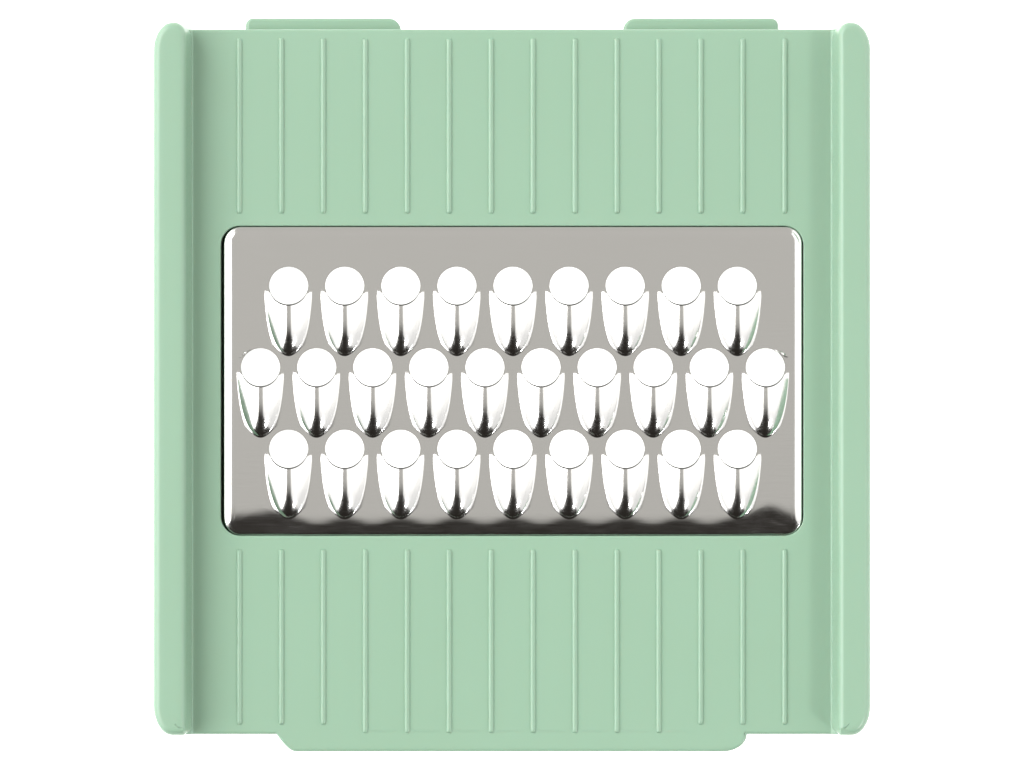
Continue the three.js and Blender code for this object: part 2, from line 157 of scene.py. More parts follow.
# ------------------------------------------------------------------------------------------------------------
# White sweep under the insert. Matt paper from a roll, with fibres about 1 mm apart. A glow of its own keeps
# it clean white where it shows through the tooth holes.
# ------------------------------------------------------------------------------------------------------------
SWEEP_HALF = 4.0  # metres, like its level
SWEEP_LEVEL = -0.0004
SWEEP_CORNERS = ((-1, -1), (1, -1), (1, 1), (-1, 1))
sweep_points = [(SWEEP_HALF * x, SWEEP_HALF * y, SWEEP_LEVEL) for x, y in SWEEP_CORNERS]
sweep_mesh = bpy.data.meshes.new("sweep")
sweep_mesh.from_pydata(sweep_points, [], [(0, 1, 2, 3)])
sweep = bpy.data.objects.new("sweep", sweep_mesh)
scene.collection.objects.link(sweep)

paper = bpy.data.materials.new("white_sweep_paper")
paper.use_nodes = True
tree = paper.node_tree
tree.nodes.clear()
fibre = node(tree, "TexNoise", Vector=node(tree, "TexCoord").outputs["Object"], Scale=900.0, Detail=3.0)
tooth_of_paper = node(tree, "Bump", Height=fibre.outputs["Fac"], Strength=0.05, Distance=0.0002)
sheet_shader = node(tree, "BsdfPrincipled", Base_Color=linear("#f4f4f2"), Roughness=0.9,
                    Normal=tooth_of_paper.outputs["Normal"], Emission_Color=linear("#ffffff"),
                    Emission_Strength=0.75)
node(tree, "OutputMaterial", Surface=sheet_shader.outputs["BSDF"])
sweep_mesh.materials.append(paper)

# ------------------------------------------------------------------------------------------------------------
# Carrier frame. One injection moulding in mint ABS: a 2 mm deck round the plate's window, slide ribs, two
# hollow guide rails, front and rear skirts, a front lip in the deck's plane and two lower rear tabs.
# ------------------------------------------------------------------------------------------------------------
frame_low, frame_high = [np.array(corner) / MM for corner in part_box("carrier_frame")]
HALF_WIDTH = frame_high[0]
RAIL_TOP = frame_high[2]
LIP_FRONT = frame_low[1]
TAB_REAR = frame_high[1]
RAIL_HEIGHT = 5.0  # above the deck
DECK_THICKNESS = 2.0
LIP_REACH = 2.7
TAB_REACH = 2.0
DECK_TOP = RAIL_TOP - RAIL_HEIGHT
DECK_UNDER = DECK_TOP - DECK_THICKNESS
DECK_FRONT = LIP_FRONT + LIP_REACH
DECK_REAR = TAB_REAR - TAB_REACH
SKIRT = 1.8  # thickness of the skirts
EDGE = 0.45  # rounding of the deck's outer edges
RAIL_FOOT = 49.6  # the rails' inner walls, from the middle
RAIL_FILLET = 0.25  # between the deck and a rail's inner wall
RIB_COUNT = 14
RIB_PITCH = 6.5
RIB_RADIUS = 0.42
RIB_HEIGHT = 0.32
REAR_RIBS = (26.4, 53.6)
FRONT_RIBS = (-52.8, -25.6)
LONG_RIBS_WITHIN = 25  # the front ribs this near to the middle are the longer ones
LONG_RIBS_FRONT = -54.1
WINDOW_HALF = 45.15
WINDOW_FRONT = -23.5
WINDOW_REAR = 24.5
WINDOW_CORNER = 3.0
WINDOW_EDGE = 0.18  # rounding of the window's upper edge
WELD = 2e-6  # metres; nearer points of two patches become one
SLIVER = 1e-6  # metres; shorter edges are dissolved


def grid_faces(rows, columns, wrap=False, start=0):
    """Quads between neighbouring points of a rows x columns grid; wrap joins the last column to the first."""
    across = np.arange(columns if wrap else columns - 1)
    here = (np.arange(rows - 1)[:, None] * columns + across).ravel()
    beside = (np.arange(rows - 1)[:, None] * columns + (across + 1) % columns).ravel()
    return np.stack([here, beside, beside + columns, here + columns], axis=1) + start


def moulding(name, patches, material, cad_node, crease=35.0, caps=False):
    """Joins grid patches into one closed mesh whose faces turn outwards.

    Each patch is (points, wrap), with points an array of rows x columns x 3 in millimetres. caps closes what
    is still open with one face each, such as the ends of a block.
    """
    points = []
    faces = []
    count = 0
    for grid, wrap in patches:
        rows, columns = grid.shape[:2]
        points.append(grid.reshape(-1, 3) * MM)
        faces.append(grid_faces(rows, columns, wrap, count))
        count += rows * columns
    mesh = bpy.data.meshes.new(name)
    mesh.from_pydata(np.concatenate(points), [], np.concatenate(faces))
    shell = bmesh.new()
    shell.from_mesh(mesh)
    bmesh.ops.remove_doubles(shell, verts=shell.verts, dist=WELD)
    bmesh.ops.dissolve_degenerate(shell, edges=shell.edges, dist=SLIVER)
    if caps:
        bmesh.ops.holes_fill(shell, edges=[edge for edge in shell.edges if edge.is_boundary], sides=0)
    bmesh.ops.recalc_face_normals(shell, faces=shell.faces)
    shell.to_mesh(mesh)
    shell.free()
    mesh.shade_smooth()
    mesh.set_sharp_from_angle(angle=math.radians(crease))
    mesh.materials.append(material)
    piece = bpy.data.objects.new(name, mesh)
    scene.collection.objects.link(piece)
    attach(piece, "root")
    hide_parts(cad_node)
    return piece


def stack(x, y, z):
    """Three arrays, or numbers, of any matching shapes as one array of points."""
    return np.stack(np.broadcast_arrays(x, y, z), axis=-1)


def at_level(plan, level):
    """Points of a plan, as count x 2, at one level for all or one for each."""
    return stack(plan[:, 0], plan[:, 1], level)


def rounded_loop(u, v, corner_u, corner_v, half, front, rear, radius):
    """A rounded rectangle that follows a square loop (u, v) with the larger of |u| and |v| equal to 1.

    Up to the corner fractions a point runs along its straight side; past them it turns through 45 degrees.
    Returns the points and their outward normals.
    """
    on_ends = np.abs(v) >= np.abs(u) - 1e-9
    run = np.where(on_ends, np.abs(u) / corner_u, np.abs(v) / corner_v)
    past = np.where(on_ends, (np.abs(u) - corner_u) / (1 - corner_u), (np.abs(v) - corner_v) / (1 - corner_v))
    turn = np.radians(45) * np.clip(past, 0, 1)
    flat_x = half - radius
    flat_y = (rear - front) / 2 - radius
    normal_x = np.sign(u) * np.where(on_ends, np.sin(turn), np.cos(turn))
    normal_y = np.sign(v) * np.where(on_ends, np.cos(turn), np.sin(turn))
    x = np.sign(u) * flat_x * np.where(on_ends, np.minimum(run, 1), 1) + radius * normal_x
    straight_y = np.sign(v) * flat_y * np.where(on_ends, 1, np.minimum(run, 1))
    y = straight_y + radius * normal_y + (front + rear) / 2
    return np.stack([x, y], axis=-1), np.stack([normal_x, normal_y], axis=-1)


def rib_height(x, y):
    """Half-round ribs: RIB_HEIGHT x sqrt(1 - (d / RIB_RADIUS)^2), with d the distance to the rib's line."""
    number = np.clip(np.round(x / RIB_PITCH - 0.5), -RIB_COUNT // 2, RIB_COUNT // 2 - 1)
    centre = (number + 0.5) * RIB_PITCH
    long = np.abs(centre) < LONG_RIBS_WITHIN
    low = np.where(y > 0, REAR_RIBS[0], np.where(long, LONG_RIBS_FRONT, FRONT_RIBS[0])) + RIB_RADIUS
    high = np.where(y > 0, REAR_RIBS[1], FRONT_RIBS[1]) - RIB_RADIUS
    beyond = np.maximum(np.maximum(low - y, y - high), 0)
    distance = np.hypot(x - centre, beyond) / RIB_RADIUS
    return RIB_HEIGHT * np.sqrt(np.clip(1 - distance**2, 0, 1))


def merged(*runs):
    """Sorted positions from several runs, without any that lies closer than CLOSEST to the one before."""
    values = np.sort(np.concatenate([np.atleast_1d(run) for run in runs]))
    return values[np.concatenate([[True], np.diff(values) > CLOSEST])]


# Lines of the deck's grid: close together over the ribs, at the window's corners and at the lip's ends.
CLOSEST = 0.03
HALF_RIB = np.array([0.3, 0.6, 0.8, 0.93, 1.0, 1.15])
ACROSS_RIB = np.concatenate([-HALF_RIB[::-1], [0.0], HALF_RIB]) * RIB_RADIUS
RIB_END = np.array([0.0, 0.07, 0.2, 0.4, 0.7, 1.0, 1.2]) * RIB_RADIUS
LIP_LEFT = -36.5
LIP_LEFT_RUN = 3.1
LIP_RIGHT = 36.4
LIP_RIGHT_RUN = 3.7
RIM = 1.2  # width of the flat ring of deck that turns the square grid into the rounded window
CORNER_LINES = np.linspace(43.2, 45.6, 4)
OUTER_LINE = 47.8
PLAIN_FRONT = FRONT_RIBS[0] - 0.6  # the deck's grid ends here, and its edges are strips of their own
PLAIN_REAR = 54.1
FOOT_ROOT = (0.9, 0.6)  # how far the deck runs on into a rail, sideways and upwards
rib_lines = ((np.arange(RIB_COUNT) - (RIB_COUNT - 1) / 2) * RIB_PITCH)[:, None] + ACROSS_RIB
columns = merged(
    rib_lines.ravel(),
    np.array([-1, 1]) * (WINDOW_HALF + RIM),
    np.array([-1, 1]) * (WINDOW_HALF - WINDOW_CORNER),
    CORNER_LINES,
    -CORNER_LINES,
    LIP_RIGHT - LIP_RIGHT_RUN * (1 - np.sin(np.radians(np.linspace(0, 90, 10)))),
    LIP_LEFT + LIP_LEFT_RUN * np.linspace(0, 1, 9),
    [LIP_LEFT - 0.1, LIP_RIGHT + 0.1, -OUTER_LINE, OUTER_LINE],
)
turn = np.radians(np.linspace(0, 90, 7))
foot_x = np.append(RAIL_FOOT - RAIL_FILLET + RAIL_FILLET * np.sin(turn), RAIL_FOOT + FOOT_ROOT[0])
foot_rise = np.append(RAIL_FILLET * (1 - np.cos(turn)), RAIL_FILLET + FOOT_ROOT[1])
deck_x = np.concatenate([-foot_x[::-1], columns, foot_x])
deck_rise = np.concatenate([foot_rise[::-1], np.zeros(len(columns)), foot_rise])

front_rows = merged(PLAIN_FRONT, FRONT_RIBS[0] + RIB_RADIUS - RIB_END, np.linspace(-48, -30, 4),
                    FRONT_RIBS[1] - RIB_RADIUS + RIB_END, WINDOW_FRONT - RIM)
middle_rows = np.concatenate([
    np.linspace(WINDOW_FRONT - RIM, WINDOW_FRONT + WINDOW_CORNER, 6),
    np.linspace(WINDOW_FRONT + WINDOW_CORNER, WINDOW_REAR - WINDOW_CORNER, 9)[1:-1],
    np.linspace(WINDOW_REAR - WINDOW_CORNER, WINDOW_REAR + RIM, 6),
])
rear_rows = merged(WINDOW_REAR + RIM, REAR_RIBS[0] + RIB_RADIUS - RIB_END, np.linspace(30, 48, 4),
                   REAR_RIBS[1] - RIB_RADIUS + RIB_END, PLAIN_REAR)


def deck_top(rows):
    """The deck between the rails: level, with the ribs on it and a fillet up each rail's foot."""
    x, y = np.meshgrid(deck_x, rows)
    return stack(x, y, DECK_TOP + deck_rise + rib_height(x, y))


def front_outline(x):
    """The deck's front edge: straight but for the lip, whose left end is a sine and right end an ellipse."""
    left = np.clip((x - LIP_LEFT) / LIP_LEFT_RUN, 0, 1)
    right = np.clip((LIP_RIGHT - x) / LIP_RIGHT_RUN, 0, 1)
    return DECK_FRONT - (DECK_FRONT - LIP_FRONT) * np.sin(np.pi / 2 * left) * np.sqrt(1 - (1 - right) ** 2)


EDGE_TURN = np.radians([18, 36, 54, 72, 90])
RIM_TURN = np.radians([0, 30, 60, 90])
STRAIGHT_BEYOND = 45  # past this x the outline is straight
UNDER_EDGE = 0.3  # rounding of the lip's lower edge
SKIRT_RIM = 0.4  # rounding of the skirts' lower rim


def edge_strip(inner_row, outline, skirt_outside, skirt_inside, steps):
    """From a row of the deck over its rounded edge, in under the lip, down the skirt and up inside it.

    A rounding of radius r at angle a lies r (1 - sin a) inwards and r (1 - cos a) down, or the other way.
    """
    side = np.sign(inner_row)
    slope = np.gradient(outline, deck_x)
    inward = np.stack([slope * side, -side * np.ones_like(slope)], axis=-1)
    inward /= np.linalg.norm(inward, axis=-1, keepdims=True)
    inward[np.abs(deck_x) > STRAIGHT_BEYOND] = (0, -side)
    edge = np.stack([deck_x, outline], axis=-1)
    start = np.stack([deck_x, np.full_like(deck_x, inner_row)], axis=-1)
    level = DECK_TOP + deck_rise
    rows = []
    for part in steps:
        plan = start + (edge + inward * EDGE - start) * part
        rows.append(at_level(plan, level + rib_height(plan[:, 0], plan[:, 1])))
    for angle in EDGE_TURN:
        plan = edge + inward * EDGE * (1 - math.sin(angle))
        rows.append(at_level(plan, level - EDGE * (1 - math.cos(angle))))
    under = np.minimum(UNDER_EDGE, np.abs(outline - skirt_outside) / 3)
    for angle in RIM_TURN:
        plan = edge + inward * (under * (1 - math.cos(angle)))[:, None]
        rows.append(at_level(plan, DECK_UNDER + under * (1 - math.sin(angle))))
    rows.append(stack(deck_x, skirt_outside, DECK_UNDER))
    for angle in RIM_TURN:
        y = skirt_outside - side * SKIRT_RIM * (1 - math.cos(angle))
        rows.append(stack(deck_x, y, SKIRT_RIM * (1 - math.sin(angle))))
    for angle in RIM_TURN:
        y = skirt_inside + side * SKIRT_RIM * (1 - math.sin(angle))
        rows.append(stack(deck_x, y, SKIRT_RIM * (1 - math.cos(angle))))
    rows.append(stack(deck_x, skirt_inside, DECK_UNDER))
    return np.stack(rows)


def square_loop(xs, ys, half, front, rear):
    """The grid's points round a rectangle, without a repeat, as x, y and the square loop's u and v."""
    inside = xs[(xs > -half - 1e-6) & (xs < half + 1e-6)]
    along = ys[(ys > front - 1e-6) & (ys < rear + 1e-6)]
    right_x = np.full(len(along) - 1, half)
    left_x = np.full(len(along) - 2, -half)
    front_y = np.full(len(inside), front)
    rear_y = np.full(len(inside) - 1, rear)
    x = np.concatenate([inside, right_x, inside[-2::-1], left_x])
    y = np.concatenate([front_y, along[1:], rear_y, along[-2:0:-1]])
    return x, y, x / half, (2 * y - front - rear) / (rear - front)


hole_half = WINDOW_HALF + RIM
hole_front = WINDOW_FRONT - RIM
hole_rear = WINDOW_REAR + RIM
loop_x, loop_y, loop_u, loop_v = square_loop(deck_x, middle_rows, hole_half, hole_front, hole_rear)
corner_u = (WINDOW_HALF - WINDOW_CORNER) / hole_half
corner_v = 1 - 2 * (WINDOW_CORNER + RIM) / (hole_rear - hole_front)
window_line, window_out = rounded_loop(loop_u, loop_v, corner_u, corner_v,
                                       WINDOW_HALF, WINDOW_FRONT, WINDOW_REAR, WINDOW_CORNER)
square = np.stack([loop_x, loop_y], axis=-1)
window_rows = [stack(loop_x, loop_y, DECK_TOP)]
for part in (0.4, 0.75, 1.0):
    plan = square + (window_line + window_out * WINDOW_EDGE - square) * part
    window_rows.append(at_level(plan, DECK_TOP))
for angle in EDGE_TURN:
    plan = window_line + window_out * WINDOW_EDGE * (1 - math.sin(angle))
    window_rows.append(at_level(plan, DECK_TOP - WINDOW_EDGE * (1 - math.cos(angle))))
window_rows.append(at_level(window_line, DECK_UNDER))
window_rows.append(stack(loop_x, loop_y, DECK_UNDER))
window_wall = np.stack(window_rows)

outside = np.abs(deck_x) > hole_half - 1e-6
left_x = deck_x[outside & (deck_x < 0)]
right_x = deck_x[outside & (deck_x > 0)]
left_rise = deck_rise[outside & (deck_x < 0)]
right_rise = deck_rise[outside & (deck_x > 0)]
inside_front = DECK_FRONT + SKIRT
inside_rear = DECK_REAR - SKIRT
rear_outline = np.full_like(deck_x, DECK_REAR)
front_strip = edge_strip(front_rows[0], front_outline(deck_x), DECK_FRONT, inside_front,
                         np.linspace(0, 1, 19))
rear_strip = edge_strip(rear_rows[-1], rear_outline, DECK_REAR, inside_rear, [0, 0.5, 1])
UNDER_LINE = 38.0  # a line of the underside's grid, between the window and each skirt
deck_patches = [
    (deck_top(front_rows), False),
    (deck_top(rear_rows), False),
    (stack(left_x, middle_rows[:, None], DECK_TOP + left_rise), False),
    (stack(right_x, middle_rows[:, None], DECK_TOP + right_rise), False),
    (front_strip, False),
    (rear_strip, False),
    (window_wall, True),
    (stack(deck_x, np.array([[inside_front], [-UNDER_LINE], [hole_front]]), DECK_UNDER), False),
    (stack(deck_x, np.array([[hole_rear], [UNDER_LINE], [inside_rear]]), DECK_UNDER), False),
    (stack(left_x, middle_rows[:, None], DECK_UNDER), False),
    (stack(right_x, middle_rows[:, None], DECK_UNDER), False),
]

# Mint ABS, moulded in a fine-textured tool: satin, with a faint grain 0.4 mm apart and slow flow marks 22 mm
# apart that soften its shine.
mint_abs = bpy.data.materials.new("moulded_mint_abs")
mint_abs.use_nodes = True
tree = mint_abs.node_tree
tree.nodes.clear()
place = node(tree, "TexCoord").outputs["Object"]
grain = node(tree, "TexNoise", Vector=place, Scale=2400.0, Detail=4.0, Roughness=0.6)
flow = node(tree, "TexNoise", Vector=place, Scale=45.0, Detail=2.0, Roughness=0.5)
tint = node(tree, "Mix", {"data_type": "RGBA"}, Factor=flow.outputs["Fac"],
            i6=linear("#809e87"), i7=linear("#83a18b"))
shine = node(tree, "MapRange", Value=grain.outputs["Fac"],
             From_Min=0.3, From_Max=0.7, To_Min=0.28, To_Max=0.38)
skin = node(tree, "Bump", Height=grain.outputs["Fac"], Strength=0.12, Distance=0.00004)
sink = node(tree, "Bump", Height=flow.outputs["Fac"], Strength=0.10, Distance=0.0004,
            Normal=skin.outputs["Normal"])
abs_shader = node(tree, "BsdfPrincipled", Base_Color=tint.outputs[2], Roughness=shine.outputs["Result"],
                  IOR=1.53, Normal=sink.outputs["Normal"], Subsurface_Weight=0.05, Subsurface_Scale=0.0006)
node(tree, "OutputMaterial", Surface=abs_shader.outputs["BSDF"])

# Guide rails. Each is a hollow bar in one moulding with the deck, open underneath, with 1.6 mm walls, a
# slightly leaning inner wall and an oval corner at each outer end. Their tops are flat.
RAIL_FRONT = DECK_FRONT + 0.2
RAIL_REAR = DECK_REAR + 0.7
RAIL_WALL = 1.6
RAIL_LEAN = 0.6  # how far the inner wall's top lies back from its foot
RAIL_OUTER_EDGE = 1.1
RAIL_INNER_EDGE = 0.95
RAIL_MIDDLE = 52.2
CHANNEL_MIDDLE = 52.6
INNER_LEG = 2.2  # height of the inner wall's lower edge, between the skirts
INNER_CORNERS = ((1.0, 1.0), (2.1, 2.1))  # half axes at the front and at the rear
OUTER_CORNERS = ((2.9, 4.6), (2.9, 4.3))
CHANNEL_CORNERS = ((0.6, 0.6), (0.6, 0.6))
OUTER_STRAIGHT = (5.0, 4.7)  # where the outer wall's straight run starts and ends, from the rail's ends
CHANNEL_RUN = (-50, 51)  # the straight run of the channel's inner wall
LEG_RIM = ((0, 0.3), (0.05, 0.09), (0.19, 0), (0.81, 0), (0.95, 0.09), (1, 0.3))  # across the wall, and rise


def rail_side(middle, wall, front, rear, front_corner, rear_corner, straight):
    """Half a rail's outline, from the middle of its front end round one side to the middle of its rear end.

    A corner is a quarter ellipse with half axes (a, b), (a sin t, b cos t), and its normal is
    (sin t / a, cos t / b).
    """
    sign = np.sign(wall - middle)
    quarter = np.radians(np.linspace(0, 90, 10))
    (fa, fb), (ra, rb) = front_corner, rear_corner
    x = np.concatenate([[middle], wall - sign * fa * (1 - np.sin(quarter)), np.full(len(straight), wall),
                        wall - sign * ra * (1 - np.cos(quarter)), [middle]])
    y = np.concatenate([[front], front + fb * (1 - np.cos(quarter)), straight,
                        rear - rb * (1 - np.sin(quarter)), [rear]])
    normal_x = np.concatenate([[0], sign * np.sin(quarter) / fa, np.full(len(straight), sign),
                               sign * np.cos(quarter) / ra, [0]])
    normal_y = np.concatenate([[-1], -np.cos(quarter) / fb, np.zeros(len(straight)),
                               np.sin(quarter) / rb, [1]])
    normal = np.stack([normal_x, normal_y], axis=-1)
    return np.stack([x, y], axis=-1), normal / np.linalg.norm(normal, axis=-1, keepdims=True)


def rail(side):
    """The rail's skin: from the channel's ceiling down, round the rim, up outside and over the round top."""
    leg = np.concatenate([[inside_front - 0.1, inside_front + 0.1], np.linspace(-40, 40, 9),
                          [inside_rear - 0.1, inside_rear + 0.1]])
    outer_run = np.linspace(RAIL_FRONT + OUTER_STRAIGHT[0], RAIL_REAR - OUTER_STRAIGHT[1], len(leg))
    inner, inner_normal = rail_side(RAIL_MIDDLE, RAIL_FOOT, RAIL_FRONT, RAIL_REAR, *INNER_CORNERS, leg)
    outer, outer_normal = rail_side(RAIL_MIDDLE, HALF_WIDTH, RAIL_FRONT, RAIL_REAR, *OUTER_CORNERS, outer_run)
    channel_x = (RAIL_FOOT + RAIL_WALL, HALF_WIDTH - RAIL_WALL)
    channel_y = (RAIL_FRONT + 2 * RAIL_WALL, RAIL_REAR - 2 * RAIL_WALL)
    inner_run = np.clip(leg, *CHANNEL_RUN)
    channel_a = rail_side(CHANNEL_MIDDLE, channel_x[0], *channel_y, *CHANNEL_CORNERS, inner_run)[0]
    channel_b = rail_side(CHANNEL_MIDDLE, channel_x[1], *channel_y, *CHANNEL_CORNERS, outer_run)[0]
    skin = np.concatenate([inner, outer[-2:0:-1]])
    out = np.concatenate([inner_normal, outer_normal[-2:0:-1]])
    channel = np.concatenate([channel_a, channel_b[-2:0:-1]])
    faces_food = np.clip(-out[:, 0], 0, 1)
    on_inner_wall = skin[:, 0] < RAIL_FOOT + 0.01
    between_skirts = on_inner_wall & (skin[:, 1] > inside_front) & (skin[:, 1] < inside_rear)
    low = np.where(between_skirts, INNER_LEG, 0.0)
    lean = RAIL_LEAN * faces_food
    edge = RAIL_OUTER_EDGE + (RAIL_INNER_EDGE - RAIL_OUTER_EDGE) * faces_food
    ceiling = RAIL_TOP - RAIL_WALL
    rows = [at_level(channel, ceiling)]
    for across, rise in LEG_RIM:
        plan = channel + (skin - channel) * across
        rows.append(at_level(plan, low + rise))
    rows.append(at_level(skin, DECK_TOP))
    for angle in np.radians(np.linspace(0, 90, 9)):
        plan = skin - out * (lean + edge * (1 - math.cos(angle)))[:, None]
        rows.append(at_level(plan, RAIL_TOP - edge * (1 - math.sin(angle))))
    loops = np.stack(rows)
    count = len(inner)
    across = np.linspace(0, 1, 5)[:, None]
    patches = [(loops, True)]
    for row in (loops[0], loops[-1]):
        near = row[:count]
        far = np.concatenate([row[:1], row[count:][::-1], row[count - 1 : count]])
        patches.append((near[:, None] + (far - near)[:, None] * across, False))
    return [(points * (side, 1, 1), wrap) for points, wrap in patches]


# Rear tabs. They stand out of the rear skirt, below the deck, and are moulded in one with it.
TAB_INNER = 17.3
TAB_OUTER = 41.5
TAB_LOW = 2.6
TAB_HIGH = 4.8
TAB_EDGE = 0.55
TAB_ROOT = 1.2  # how far a tab runs on into the skirt
TAB_CORNERS = (1.1, 1.9, 0.6, 0.6)


def block(half_x, half_y, centre, radii, low, high, edge):
    """A slab with rounded corners and edges. radii are its corners', anticlockwise from the right rear."""
    quarter = np.radians(np.linspace(0, 90, 6))
    points = []
    normals = []
    for number, radius in enumerate(radii):
        turn = quarter + number * np.pi / 2
        corner = (half_x if number in (0, 3) else -half_x, half_y if number in (0, 1) else -half_y)
        hub = np.array(corner) - radius * np.sign(corner)
        normal = np.stack([np.cos(turn), np.sin(turn)], axis=-1)
        points.append(hub + radius * normal + centre)
        normals.append(normal)
    line = np.concatenate(points)
    out = np.concatenate(normals)
    rows = []
    for angle in np.radians(np.linspace(-90, 90, 9)):
        plan = line - out * edge * (1 - math.cos(angle))
        level = low + edge + edge * math.sin(angle) if angle < 0 else high - edge + edge * math.sin(angle)
        rows.append(at_level(plan, level))
    rows.insert(len(rows) // 2, at_level(line, low + edge))
    return np.stack(rows), True


def rear_tab(side):
    """One tab, as a block, with its wider corner towards the middle."""
    middle = ((TAB_INNER + TAB_OUTER) / 2, (DECK_REAR - TAB_ROOT + TAB_REAR) / 2)
    half_depth = (TAB_REAR - DECK_REAR + TAB_ROOT) / 2
    points, wrap = block((TAB_OUTER - TAB_INNER) / 2, half_depth, middle, TAB_CORNERS,
                         TAB_LOW, TAB_HIGH, TAB_EDGE)
    return points * (side, 1, 1), wrap


# Under the deck: thin stiffening ribs, a low wall that locates the plate's flange and the clamp ring, and
# studs whose ends are melted over the ring into flat domes. No holes are cut for the studs in the flange and
# the ring, so their shanks run through both.
plate_low, plate_high = [np.array(corner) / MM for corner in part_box("grating_plate")]
ring_low, ring_high = [np.array(corner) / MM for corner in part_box("clamp_ring")]
FLANGE_HALF = plate_high[0]
FLANGE_FRONT = plate_low[1]
FLANGE_REAR = plate_high[1]
FLANGE_CORNER = 5.2
FLANGE_WIDTH = 4.4
SEAT_WALL = 1.3
SEAT_GAP = 0.3
SEAT_HALF = 50.6  # the seat wall's outer half width, which reaches into the rails
SEAT_CORNER = 0.5
ROOT = 0.5  # how far walls, ribs and studs run up into the deck
UNDER_ROUNDING = 0.25  # of the edges of the seat wall and the ribs
RIB_LOW = 4.4  # lower edge of the stiffening ribs
RIB_HALF = 0.6  # half their thickness
RIB_OVERLAP = 0.4  # how far their ends run into the walls
RIB_CORNERS = [0.1] * 4
RIB_SPACING = 16.0
CROSS_RIB = 13  # the cross ribs' places, from the deck's front and rear edges
STUD_RADIUS = 1.0
STUD_HEAD = 2.0
STUD_HEAD_HEIGHT = 1.0
HEAD_RIM = (0.15, 0.12)  # how far the dome's upper rim is rounded, inwards and down
ALMOST_NONE = 0.001  # radius at which a stud's ends are closed
STUD_X = (-37, -12.5, 12.5, 37)  # along the front and the rear
STUD_STEP = 12  # at the sides, each way from the window's middle
seat_front = FLANGE_FRONT - SEAT_GAP - SEAT_WALL
seat_rear = FLANGE_REAR + SEAT_GAP + SEAT_WALL
NEAR_CORNER = [0.9, 0.94, 0.97, -0.9, -0.94, -0.97]
SQUARE = np.unique(np.concatenate([np.linspace(-1, 1, 41), NEAR_CORNER]))
CORNER_FROM = 0.85  # fraction of each side at which a frame loop's corner begins


def frame_loop(half, front, rear, radius):
    """A rounded rectangle on the same square loop each time, so that any two can be joined point to point."""
    side = SQUARE[:-1]
    ones = np.ones(len(side))
    u = np.concatenate([side, ones, -side, -ones])
    v = np.concatenate([-ones, side, ones, -side])
    return rounded_loop(u, v, CORNER_FROM, CORNER_FROM, half, front, rear, radius)


def ring(outside, inside, low, high, edge):
    """A flat ring between two rounded rectangles with its four edges rounded, as one closed band."""
    (outer, outer_normal), (inner, inner_normal) = frame_loop(*outside), frame_loop(*inside)
    rows = []
    for line, out, start in ((outer, outer_normal, -90), (inner, -inner_normal, 90)):
        for angle in np.radians(np.linspace(start, -start, 9)):
            plan = line - out * edge * (1 - math.cos(angle))
            level = low + edge if math.sin(angle) < 0 else high - edge
            rows.append(at_level(plan, level + edge * math.sin(angle)))
    rows.append(rows[0])
    return np.stack(rows), True


def stiffeners():
    """Lengthwise ribs between each skirt and the seat wall, and one rib across them."""
    upright = (RIB_CORNERS, RIB_LOW, DECK_UNDER + ROOT, UNDER_ROUNDING)
    fields = ((inside_front - RIB_OVERLAP, seat_front + RIB_OVERLAP, DECK_FRONT + CROSS_RIB),
              (seat_rear - RIB_OVERLAP, inside_rear + RIB_OVERLAP, DECK_REAR - CROSS_RIB))
    ribs = []
    for front, rear, cross in fields:
        for x in np.arange(-2, 3) * RIB_SPACING:
            ribs.append(block(RIB_HALF, (rear - front) / 2, (x, (front + rear) / 2), *upright))
        ribs.append(block(SEAT_HALF, RIB_HALF, (0, cross), *upright))
    return ribs


def stud(x, y):
    """A stud and its dome, turned about its own axis from the root down.

    The radius is the shank's, then the dome's, which falls to nothing as an ellipse (cos t, sin t).
    """
    turn = np.radians(np.linspace(0, 90, 7))
    top = DECK_UNDER + ROOT
    under = ring_low[2] - SEAT_GAP
    inwards, down = HEAD_RIM
    shank = [ALMOST_NONE, STUD_RADIUS, STUD_RADIUS, STUD_HEAD - inwards]
    radius = np.concatenate([shank, STUD_HEAD * np.cos(turn) + ALMOST_NONE])[:, None]
    dome_level = under - down - (STUD_HEAD_HEIGHT - down) * np.sin(turn)
    level = np.concatenate([[top, top, under, under], dome_level])[:, None]
    around = np.radians(np.arange(0, 360, 15))
    return stack(x + radius * np.cos(around), y + radius * np.sin(around), level), True


stud_line = FLANGE_WIDTH / 2 - 0.1  # from the flange's outer edge to the studs' centres
stud_rows = (FLANGE_FRONT + stud_line, FLANGE_REAR - stud_line)
stud_places = [(x, y) for x in STUD_X for y in stud_rows]
window_middle = (WINDOW_FRONT + WINDOW_REAR) / 2
for side in (-1, 1):
    for step in (-STUD_STEP, STUD_STEP):
        stud_places.append((side * (FLANGE_HALF - stud_line), window_middle + step))

carrier_patches = [*deck_patches, *rail(1), *rail(-1), rear_tab(1), rear_tab(-1), *stiffeners()]
seat_outside = (SEAT_HALF, seat_front, seat_rear, SEAT_CORNER)
seat_inside = (FLANGE_HALF + SEAT_GAP, FLANGE_FRONT - SEAT_GAP, FLANGE_REAR + SEAT_GAP,
               FLANGE_CORNER + SEAT_GAP)
carrier_patches.append(ring(seat_outside, seat_inside, INNER_LEG, DECK_UNDER + ROOT, UNDER_ROUNDING))
carrier_patches += [stud(x, y) for x, y in stud_places]
moulding("carrier", carrier_patches, mint_abs, "carrier_frame", caps=True)

